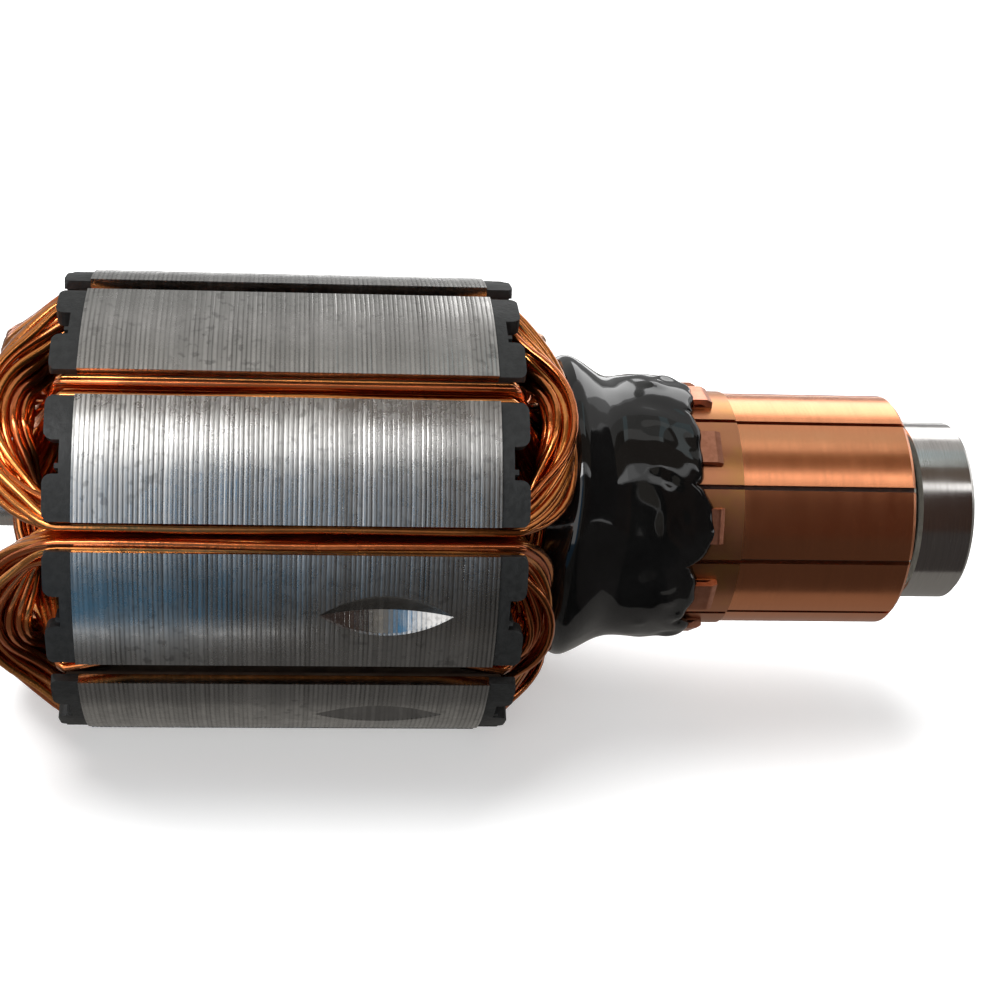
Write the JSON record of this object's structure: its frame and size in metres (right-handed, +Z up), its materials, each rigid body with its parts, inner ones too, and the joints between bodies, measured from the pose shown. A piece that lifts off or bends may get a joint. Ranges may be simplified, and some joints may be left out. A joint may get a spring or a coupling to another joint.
{
  "type": "motor armature",
  "caption": "Wound motor armature: slotted laminated core with moulded end insulators, enamelled wire coils, hook commutator, black resin and a ball bearing on its shaft.",
  "frame": {"origin": "on the shaft's axis at the middle of the laminated core", "axes": "+X along the shaft towards the commutator; +Z up, with a slot between two teeth facing straight down"},
  "size_m": [0.1235, 0.048, 0.048],
  "materials": {
    "shaft_steel": "ground",
    "lamination_steel": "turned across the edges of the sheets",
    "insulator_plastic": "fine matt moulding",
    "liner_film": "matt film",
    "enamelled_wire": "glossy clear enamel over copper",
    "commutator_copper": "turned copper with an unturned band at the hooks",
    "hub_moulding": "dark moulding compound",
    "resin": "brushed-on glossy resin",
    "bearing_steel": "ground and polished",
    "ball_steel": "polished",
    "cage_steel": "pressed",
    "seal_rubber": "matt"
  },
  "bodies": {
    "root": {"shaft": "shaft_steel", "core_stack": "lamination_steel", "end_insulator_drive": "insulator_plastic", "end_insulator_commutator": "insulator_plastic", "slot_liner_1": "liner_film", "slot_liner_2": "liner_film", "slot_liner_3": "liner_film", "slot_liner_4": "liner_film", "slot_liner_5": "liner_film", "slot_liner_6": "liner_film", "slot_liner_7": "liner_film", "slot_liner_8": "liner_film", "slot_liner_9": "liner_film", "slot_liner_10": "liner_film", "coil_1": "enamelled_wire", "coil_2": "enamelled_wire", "coil_3": "enamelled_wire", "coil_4": "enamelled_wire", "coil_5": "enamelled_wire", "coil_6": "enamelled_wire", "coil_7": "enamelled_wire", "coil_8": "enamelled_wire", "coil_9": "enamelled_wire", "coil_10": "enamelled_wire", "commutator_bar_1": "commutator_copper", "commutator_bar_2": "commutator_copper", "commutator_bar_3": "commutator_copper", "commutator_bar_4": "commutator_copper", "commutator_bar_5": "commutator_copper", "commutator_bar_6": "commutator_copper", "commutator_bar_7": "commutator_copper", "commutator_bar_8": "commutator_copper", "commutator_bar_9": "commutator_copper", "commutator_bar_10": "commutator_copper", "commutator_hub": "hub_moulding", "resin_collar": "resin", "bearing_inner_ring": "bearing_steel"},
    "bearing_outer": {"bearing_outer_ring": "bearing_steel", "bearing_seal_inboard": "seal_rubber", "bearing_seal_outboard": "seal_rubber"},
    "ball_set": {"bearing_balls": "ball_steel", "bearing_cage": "cage_steel"}
  },
  "joints": [
    {"name": "bearing_spin", "type": "hinge", "parent": "root", "child": "bearing_outer", "pos_m": [0.0685, 0, 0], "axis": [1, 0, 0], "continuous": true},
    {"name": "cage_spin", "type": "hinge", "parent": "root", "child": "ball_set", "pos_m": [0.0685, 0, 0], "axis": [1, 0, 0], "continuous": true}
  ],
  "couplings": [
    {"joint": "cage_spin", "follows": "bearing_spin", "ratio": 0.64}
  ]
}
